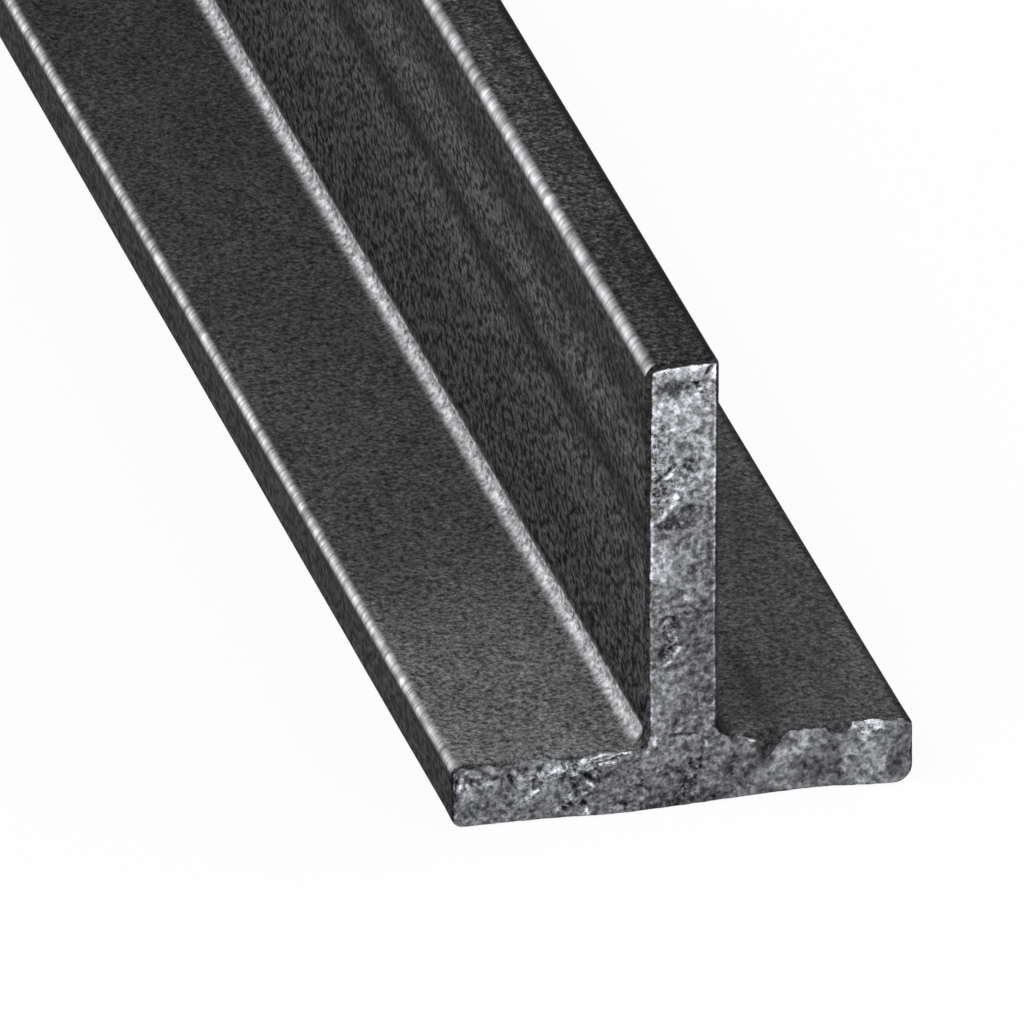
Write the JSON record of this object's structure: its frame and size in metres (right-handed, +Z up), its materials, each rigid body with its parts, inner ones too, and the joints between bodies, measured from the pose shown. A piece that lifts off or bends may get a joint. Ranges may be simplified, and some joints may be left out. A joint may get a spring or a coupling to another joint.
{
  "type": "steel tee section",
  "caption": "Straight bar of small hot rolled steel tee: a flat flange with a square web standing on its middle, cropped at both ends.",
  "frame": {"origin": "middle of the flange's underside, half way along the bar", "axes": "+X across the flange, +Y along the bar, +Z up the web"},
  "size_m": [0.02, 1, 0.0207],
  "materials": {
    "rolled_steel": "satin"
  },
  "bodies": {
    "root": {"tee_section": "rolled_steel"}
  },
  "joints": []
}
